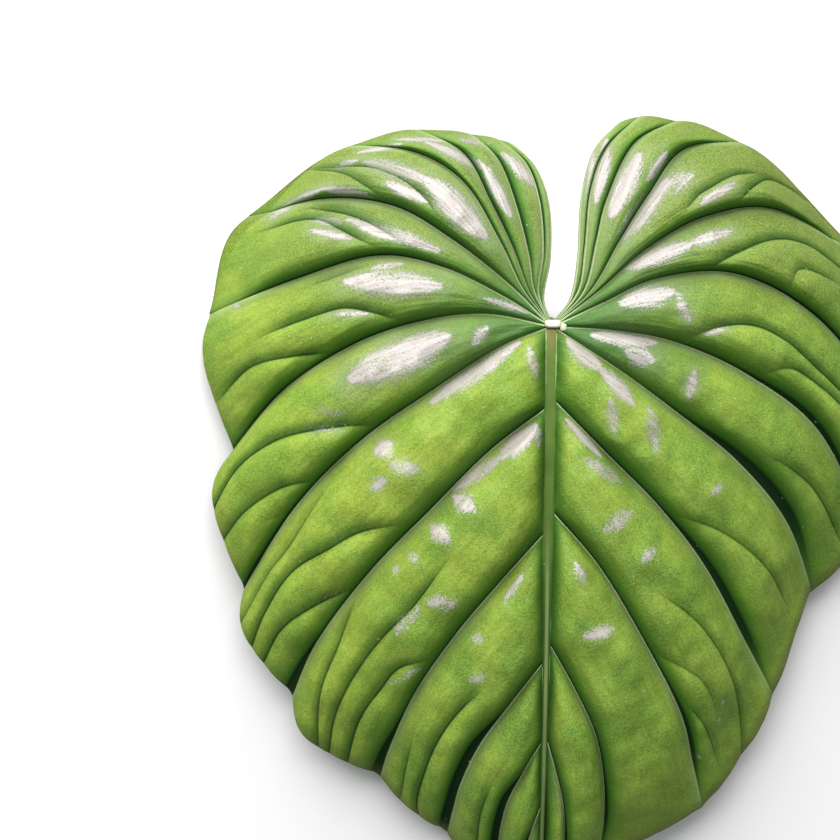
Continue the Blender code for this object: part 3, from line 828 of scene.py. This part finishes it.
def upperGreens(tree, here):
    # the lower and right parts of the leaf are darker and less yellow, partly as painted shade where the
    # light falls off; the lobes get painted shade and a painted sheen
    look = upperLook
    scale = look["blotchScale"]
    upperBlotches = placeGroup(tree, greenBlotches, {0: scale, 1: look["midGreen"], 2: look["yellowGreen"]})
    lowerShadedBlotches = placeGroup(tree, greenBlotches, {0: scale, 1: look["lowGreen"], 2: look["lowYellow"]})
    # partly painted shade: darker and less yellow towards the lower right
    colour = mixColours(tree, here.lower, upperBlotches[0], lowerShadedBlotches[0])
    # painted shade: the lobes are darker and duller, as where they slope away from the light
    lobes = times(tree, zone(tree, here.y, "lobes"), zone(tree, here.x, "lobesInner"))
    colour = mixColours(tree, lobes, colour, look["lobeShadeGreen"])
    # painted sheen: a pale grey-green round the shine strokes on the lobes
    sheen = times(tree, here.sheen, zone(tree, here.onLobe, "sheen"))
    colour = mixColours(tree, sheen, colour, look["sheenGreen"])
    colour = mixColours(tree, zone(tree, here.streaks, "streaks"), colour, look["slopeGreen"])
    colour = mixColours(tree, times(tree, here.grain[1], look["grainShare"]), colour, look["darkGrain"])
    return mixColours(tree, times(tree, here.speck[1], look["grainShare"]), colour, look["lightGrain"])


def upperCreases(tree, here, colour):
    # painted shade: darker down the slopes into the creases, in a band beside the midrib and near the joint
    # on the lobes, less of it near the joint, with a pale line at the midrib and a painted sheen below each
    # crease
    look = upperLook
    # painted shade near the joint on the lobes
    nearRoot = times(tree, zone(tree, here.outward, "nearRoot"), here.onLobe)
    colour = mixColours(tree, nearRoot, colour, look["rootGreen"])
    # painted shade in a band beside the midrib
    rootBand = times(tree, zone(tree, here.fromRoot, "rootBand"), zone(tree, here.fromRoot, "rootBandStart"))
    colour = mixColours(tree, rootBand, colour, look["slopeGreen"])
    # a pale line where the blade meets the midrib, in the vein colour that is partly painted sheen
    colour = mixColours(tree, zone(tree, here.fromRoot, "rootLine"), colour, look["veinPale"])
    soft = times(tree, zone(tree, here.outward, "softNearJoint"), here.onLobe)
    firm = sums(tree, "SUBTRACT", 1.0, soft)
    slope = times(tree, zone(tree, here.creaseShare, "slopeLeft"), zone(tree, here.across, "slopeAcross"))
    slope = times(tree, slope, firm)
    # painted shade on the slope down to each crease
    for name, green in (("highSlope", "highSlopeGreen"), ("lowSlope", "slopeGreen")):
        colour = mixColours(tree, times(tree, zone(tree, here.tipGap, name), slope), colour, look[green])
    # painted sheen on the rim just below each crease
    rim = times(tree, zone(tree, here.lobeGap, "rimStrip"), zone(tree, here.outward, "rimOutward"))
    colour = mixColours(tree, rim, colour, look["rimSheenGreen"])
    # painted shade in the crease itself
    crease = times(tree, zone(tree, here.tipGap, "crease"), zone(tree, here.across, "creaseAcross"))
    crease = times(tree, times(tree, crease, here.creaseShare), firm)
    return mixColours(tree, crease, colour, look["creaseGreen"])


def upperFolds(tree, here, colour):
    # each fold's slope and line, darkened as painted shade, and the bare skin clear of folds and creases,
    # which can shine
    look = upperLook
    bare = times(tree, zone(tree, here.tipGap, "bareTip"), zone(tree, here.lobeGap, "bareLobe"))
    for gap, strength in zip(here.foldGaps, here.foldStrengths):
        # painted shade on the slope above a fold and in its line
        slope = times(tree, zone(tree, gap, "foldSlope"), zone(tree, gap, "foldSlopeEnd"))
        slope = times(tree, slope, strength)
        colour = mixColours(tree, slope, colour, look["foldGreen"])
        line = times(tree, zone(tree, gap, "foldLine"), zone(tree, gap, "foldLineEnd"))
        line = times(tree, times(tree, line, strength), look["foldLineShare"])
        colour = mixColours(tree, line, colour, look["creaseGreen"])
        bare = times(tree, bare, sums(tree, "SUBTRACT", 1.0, slope))
    return colour, bare


def upperEdges(tree, here, colour):
    # pale lines on the veins, partly their own pale colour and partly painted sheen, and a browner margin on
    # the lower and right parts
    look = upperLook
    vein = times(tree, zone(tree, here.lobeGap, "vein"), zone(tree, here.lobeGap, "veinEnd"))
    vein = times(tree, vein, zone(tree, here.outward, "veinOutward"))
    colour = mixColours(tree, vein, colour, look["veinPale"])
    border = sums(tree, "ADD", here.fromMargin, times(tree, here.streaks, look["borderStreaks"]))
    border = times(tree, zone(tree, border, "border"), here.lower)
    colour = mixColours(tree, border, colour, look["borderOlive"])
    margin = times(tree, zone(tree, here.fromMargin, "margin"), zone(tree, here.lower, "marginLower"))
    return mixColours(tree, margin, colour, look["marginOlive"])


def upperGlossAndPaintedHighlight(tree, here, bare):
    # the glossier coat and the painted highlight have ragged, grainy edges, but a clean one along a crease or
    # fold
    look = upperLook
    coarse, fine, middle = look["raggedGrain"]
    ragged = sums(tree, "ADD", times(tree, here.grain[1], coarse), times(tree, here.speck[1], fine))
    ragged = sums(tree, "ADD", ragged, zone(tree, here.streaks, "raggedStreaks"))
    glossAndPaintedHighlight = sums(tree, "ADD", here.shine, sums(tree, "SUBTRACT", ragged, middle))
    glossAndPaintedHighlight = times(tree, zone(tree, glossAndPaintedHighlight, "highlightEdge"), bare)
    glossAndPaintedHighlight = times(tree, glossAndPaintedHighlight, zone(tree, here.shine, "highlightStart"))
    core = sums(tree, "ADD", zone(tree, here.shine, "core"), zone(tree, here.streaks, "coreStreaks"))
    core = sums(tree, "MAXIMUM", core, zone(tree, here.y, "coreLow"))
    return glossAndPaintedHighlight, mixColours(tree, core, look["glossAndPaintedHighlight"], look["paintedHighlightCore"])


def makeUpperFace():
    material, tree, shader = startMaterial("upperFace")
    look = upperLook
    here = readBlade(tree)
    colour = upperCreases(tree, here, upperGreens(tree, here))
    colour, bare = upperFolds(tree, here, colour)
    colour = upperEdges(tree, here, colour)
    glossAndPaintedHighlight, paintedHighlightColour = upperGlossAndPaintedHighlight(tree, here, bare)
    fleck, glint = placeGroup(tree, paleFlecks, look["flecks"]), placeGroup(tree, paleFlecks, look["glints"])
    # painted highlight: the base colour turns pale grey inside the shine strokes, with painted glints in it
    colour = mixColours(tree, times(tree, glossAndPaintedHighlight, look["paintedHighlightShare"]), colour, paintedHighlightColour)
    colour = mixColours(tree, times(tree, glint[0], glossAndPaintedHighlight), colour, look["glint"])
    colour = mixColours(tree, times(tree, fleck[0], look["fleckShare"]), colour, look["fleck"])
    tree.links.new(colour, shader.inputs["Base Color"])
    gloss = times(tree, bare, between(tree, glossAndPaintedHighlight, 0.0, 1.0, look["plainCoat"], look["waxCoat"]))
    gloss = times(tree, gloss, zone(tree, here.grain[1], "dullGrain"))
    tree.links.new(gloss, shader.inputs["Coat Weight"])
    shader.inputs["Coat Roughness"].default_value = look["coatRoughness"]
    shader.inputs["Coat IOR"].default_value = look["coatIOR"]
    tree.links.new(zone(tree, gloss, "roughness"), shader.inputs["Roughness"])
    shader.inputs["Specular IOR Level"].default_value = look["specular"]
    bump = {"Strength": look["bump"], "Distance": look["bumpDepth"], "Height": here.grain[0]}
    tree.links.new(addNode(tree, "Bump", bump).outputs[0], shader.inputs["Normal"])
    return material


def finishSkin(tree, shader, colour, look):
    # the grain sets the roughness, and the bump where the look has one
    grain = placeGroup(tree, skinGrain, {0: look["grain"][0], 1: look["grain"][1]})
    tree.links.new(colour, shader.inputs["Base Color"])
    tree.links.new(between(tree, grain[1], 0.0, 1.0, *look["roughness"]), shader.inputs["Roughness"])
    if "bump" in look:
        strength, depth = look["bump"]
        bump = addNode(tree, "Bump", {"Strength": strength, "Distance": depth, "Height": grain[0]})
        tree.links.new(bump.outputs[0], shader.inputs["Normal"])


underLook = {
    "light": (0.33, 0.46, 0.16, 1),
    "dark": (0.22, 0.36, 0.10, 1),
    "rib": (0.50, 0.58, 0.30, 1),
    "blotchScale": 70.0,
    "ribReach": (0.6, 2.4, 0.8, 0.0),
    "grain": (800.0, 0.6),
    "roughness": (0.5, 0.65),
    "bump": (0.3, 0.0004),
}


def makeUnderFace():
    material, tree, shader = startMaterial("underFace")
    look = underLook
    lobeGap, tipGap = readAttribute(tree, "across")[:2]
    blotches = placeGroup(tree, greenBlotches, {0: look["blotchScale"], 1: look["dark"], 2: look["light"]})
    rib = between(tree, sums(tree, "MINIMUM", lobeGap, tipGap), *look["ribReach"])
    finishSkin(tree, shader, mixColours(tree, rib, blotches[0], look["rib"]), look)
    return material


midribLook = {
    "brown": (0.22, 0.22, 0.075, 1),
    "olive": (0.12, 0.20, 0.035, 1),
    "green": (0.085, 0.17, 0.025, 1),
    "dark": (0.035, 0.11, 0.015, 1),
    "pale": (0.30, 0.42, 0.14, 1),
    "fleck": (0.6, 0.7, 0.35, 1),
    "blotchScale": 90.0,
    "brownFrom": (0.072, 0.088),  # these are places in metres
    "darkBelow": (-0.045, 0.015, 1.0, 0.0),
    "ridgeX": -0.0058,
    "ridge": (0.0003, 0.0011, 0.9, 0.0),
    "darkShare": 0.8,
    "fleckShare": 0.4,
    "specular": 0.2,
    "flecks": {"Flecks per metre": 260.0, "Size": 0.09, "Share": 0.3},
    "grain": (900.0, 0.6),
    "roughness": (0.42, 0.6),
    "bump": (0.2, 0.0003),
}


def makeMidribSkin():
    material, tree, shader = startMaterial("midribSkin")
    look = midribLook
    where = addNode(tree, "TexCoord").outputs["Object"]
    x, y = addNode(tree, "SeparateXYZ", {0: where}).outputs[:2]
    blotches = placeGroup(tree, greenBlotches, {0: look["blotchScale"], 1: look["green"], 2: look["olive"]})
    colour = mixColours(tree, between(tree, y, *look["brownFrom"]), blotches[0], look["brown"])
    low = between(tree, y, *look["darkBelow"])
    colour = mixColours(tree, times(tree, low, look["darkShare"]), colour, look["dark"])
    aside = sums(tree, "ABSOLUTE", sums(tree, "SUBTRACT", x, look["ridgeX"]))
    ridge = times(tree, between(tree, aside, *look["ridge"]), low)
    colour = mixColours(tree, ridge, colour, look["pale"])
    fleck = placeGroup(tree, paleFlecks, look["flecks"])
    colour = mixColours(tree, times(tree, fleck[0], look["fleckShare"]), colour, look["fleck"])
    shader.inputs["Specular IOR Level"].default_value = look["specular"]
    finishSkin(tree, shader, colour, look)
    return material


edgeLook = {
    "dark": (0.06, 0.05, 0.015, 1),
    "light": (0.20, 0.19, 0.05, 1),
    "blotchScale": 60.0,
    "grain": (900.0, 0.5),
    "roughness": (0.4, 0.6),
}
creamLook = {
    "dark": (0.55, 0.56, 0.34, 1),
    "light": (0.86, 0.86, 0.74, 1),
    "blotchScale": 300.0,
    "grain": (1100.0, 0.5),
    "roughness": (0.4, 0.6),
}


def makePlainSkin(name, look):
    material, tree, shader = startMaterial(name)
    blotches = placeGroup(tree, greenBlotches, {0: look["blotchScale"], 1: look["dark"], 2: look["light"]})
    finishSkin(tree, shader, blotches[0], look)
    return material


upperFace, underFace, midribSkin = makeUpperFace(), makeUnderFace(), makeMidribSkin()
bladeEdge, creamSkin = makePlainSkin("bladeEdge", edgeLook), makePlainSkin("creamSkin", creamLook)
print("materials made")


midribSizes = {
    "rings": 360,
    "sides": 28,
    "sink": 0.4,                  # share of the radius
    "lowest": 1.25,
    "flatness": 3.6,
    "lift": 0.62,
    "start": -0.4,
    "rounding": (2, 0.02),        # over how many mm the joint's end is rounded, and the least share
    "wobble": (0.03, 12, 6, 3, 14),  # share, seed, count, shortest and longest wave
}


def makeMidrib():
    jointX, jointY, _ = leafPlan["joint"]
    y = np.linspace(leafPlan["tip"][0] + 1, midribSizes["start"], midribSizes["rings"])
    radius = midribRadius(y)
    z = np.maximum(midribZ(y) - midribSizes["sink"] * radius, midribSizes["lowest"] * radius)
    centres = np.stack([jointX + midribX(y), jointY + y, z], axis=1)
    amount, *waves = midribSizes["wobble"]
    wobble = 1 + amount * ripples(y, 0 * y, *waves)
    run, least = midribSizes["rounding"]
    rounding = np.minimum(1, np.sqrt(np.clip((midribSizes["start"] - y) / run, 0, 1) + least))
    radii = np.stack([radius * wobble * rounding, radius * midribSizes["lift"] * wobble * rounding], axis=1)
    sideways = np.tile([1.0, 0, 0], (len(y), 1))
    upwards = np.tile([0, 0, 1.0], (len(y), 1))
    return sweep("midrib", centres, sideways, upwards, radii, midribSizes["sides"], midribSizes["flatness"],
                 midribSkin)


stalkPlan = {
    "radius": 2.8,
    "flatness": 2.2,
    "line": ((-2.6, 51.0), (-0.9, 49.6), (0.6, 47.0), (1.2, 43.5), (0.8, 38.0), (-2.0, 30.0),
             (-7.0, 21.0), (-13.5, 11.5), (-17.5, 6.4)),  # Y and Z
    "rings": 90,
    "sides": 28,
}


def makeStalk():
    jointX, jointY, _ = leafPlan["joint"]
    line = smoothLine(stalkPlan["line"], stalkPlan["rings"])
    centres = np.stack([np.full(len(line), jointX), jointY + line[:, 0], line[:, 1]], axis=1)
    along = np.gradient(centres, axis=0)
    along /= np.linalg.norm(along, axis=1)[:, None]
    sideways = np.tile([1.0, 0, 0], (len(line), 1))
    upwards = np.cross(along, sideways)
    radii = np.full((len(line), 2), stalkPlan["radius"])
    return sweep("stalk", centres, sideways, upwards, radii, stalkPlan["sides"], stalkPlan["flatness"],
                 midribSkin)


padPlan = {
    # centres and half sizes
    "pads": (((0.6, 0.6, 54.0), (3.4, 1.6, 1.2)), ((4.9, -0.8, 53.4), (1.4, 1.6, 1.0))),
    "squareness": 3.6,
    "steps": (32, 16),  # round and from bottom to top
}


def makePads():
    # the pale swellings where the stalk meets the blade
    jointX, jointY, _ = leafPlan["joint"]
    around, upward = padPlan["steps"]
    turns = np.linspace(0, 2 * math.pi, around + 1)[:-1]
    turn, tilt = np.meshgrid(turns, np.linspace(-math.pi / 2, math.pi / 2, upward + 1)[1:-1])
    way = np.stack([np.cos(tilt) * np.cos(turn), np.cos(tilt) * np.sin(turn), np.sin(tilt)], axis=-1)
    power = padPlan["squareness"]
    way /= (np.abs(way) ** power).sum(axis=-1, keepdims=True) ** (1 / power)
    points, faces = [], []
    for centre, half in padPlan["pads"]:
        start = len(points)
        index = start + np.arange(turn.size).reshape(turn.shape)
        points += (np.array(centre) + (jointX, jointY, 0) + way * half).reshape(-1, 3).tolist()
        faces += ringFaces(index)
    mesh = bpy.data.meshes.new("jointPads")
    mesh.from_pydata((np.array(points) * mm).tolist(), [], faces)
    mesh.materials.append(creamSkin)
    mesh.shade_smooth()
    return addObject("jointPads", mesh)


bladeParts = (
    ("lobeLeft", leftVeins, leftCreases, leftFolds, -1, range(0, 7)),
    ("bladeLeft", leftVeins, leftCreases, leftFolds, -1, range(7, 14)),
    ("lobeRight", rightVeins, rightCreases, rightFolds, 1, range(0, 6)),
    ("bladeRight", rightVeins, rightCreases, rightFolds, 1, range(6, 12)),
)
blades = [makeBladePart(*part, (upperFace, underFace, bladeEdge)) for part in bladeParts]
midrib, stalk, jointPads = makeMidrib(), makeStalk(), makePads()
for piece in (*blades, midrib, stalk, jointPads):
    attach(piece, "root")
    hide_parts("leaf")
print("leaf pieces made")


studio = {
    "floorHalf": 3.0,
    "floorColour": (0.82, 0.85, 0.84, 1),
    "world": 0.05,
    "windowPlace": (-0.50, 2.10, 1.35),
    "windowSize": (3.2, 3.0),
    "windowColour": (1.0, 0.94, 0.96),
    "windowPower": 175.0,
    "fillHeight": 1.7,
    "fillSize": 3.0,
    "fillPower": 17.0,
    "white": (1.0, 1.0, 1.0),
    "gapPlace": (-0.002, 0.130, 0.0),
    "gapCone": 7.0,
    "gapPower": 20.0,
    "gapBlend": 0.6,
    "gapRadius": 0.004,
}


def makeFloor():
    half = studio["floorHalf"]
    mesh = bpy.data.meshes.new("studioFloor")
    corners = [(-half, -half, 0), (half, -half, 0), (half, half, 0), (-half, half, 0)]
    mesh.from_pydata(corners, [], [(0, 1, 2, 3)])
    material, _, shader = startMaterial("floorPaper")
    shader.inputs["Base Color"].default_value = studio["floorColour"]
    shader.inputs["Roughness"].default_value = 0.9
    shader.inputs["Specular IOR Level"].default_value = 0.0
    mesh.materials.append(material)
    floor = addObject("studioFloor", mesh)
    floor.visible_glossy = False
    return floor


def makeLights():
    world = bpy.data.worlds.new("studioLight")
    world.use_nodes = True
    background = world.node_tree.nodes["Background"]
    background.inputs["Color"].default_value = (*studio["white"], 1)
    background.inputs["Strength"].default_value = studio["world"]
    bpy.context.scene.world = world
    fillPlace, fillSize = (0, 0, studio["fillHeight"]), (studio["fillSize"], studio["fillSize"])
    panels = (
        ("windowLight", studio["windowPlace"], studio["windowSize"], "windowPower", "windowColour"),
        ("fillLight", fillPlace, fillSize, "fillPower", "white"),
    )
    for name, place, size, power, colour in panels:
        light = bpy.data.lights.new(name, "AREA")
        light.shape = "RECTANGLE"
        light.size, light.size_y = size
        light.energy = studio[power]
        light.color = studio[colour]
        panel = addObject(name, light)
        panel.location = place
        panel.rotation_euler = (-panel.location).to_track_quat("-Z", "Y").to_euler()
        panel.visible_camera = False


def makeGapLight(floor):
    # a narrow lamp beside the camera keeps the paper white in the deep gap between the lobes
    light = bpy.data.lights.new("gapLight", "SPOT")
    light.energy = studio["gapPower"]
    light.spot_size = math.radians(studio["gapCone"])
    light.spot_blend = studio["gapBlend"]
    light.shadow_soft_size = studio["gapRadius"]
    lamp = addObject("gapLight", light)
    lamp.location = cameraPlan["place"]
    aim = mathutils.Vector(studio["gapPlace"]) - lamp.location
    lamp.rotation_euler = aim.to_track_quat("-Z", "Y").to_euler()
    paperOnly = bpy.data.collections.new("paperOnly")
    paperOnly.objects.link(floor)
    lamp.light_linking.receiver_collection = paperOnly


cameraPlan = {"place": (-0.05875, 0.04854, 0.731), "lens": 70.0, "sensor": 36.0}  # looks straight down


def makeCamera():
    data = bpy.data.cameras.new("camera")
    data.lens = cameraPlan["lens"]
    data.sensor_width = cameraPlan["sensor"]
    camera = addObject("camera", data)
    camera.location = cameraPlan["place"]
    bpy.context.scene.camera = camera


makeGapLight(makeFloor())
makeLights()
makeCamera()
bpy.context.scene.view_settings.view_transform = "Standard"
print("studio ready")
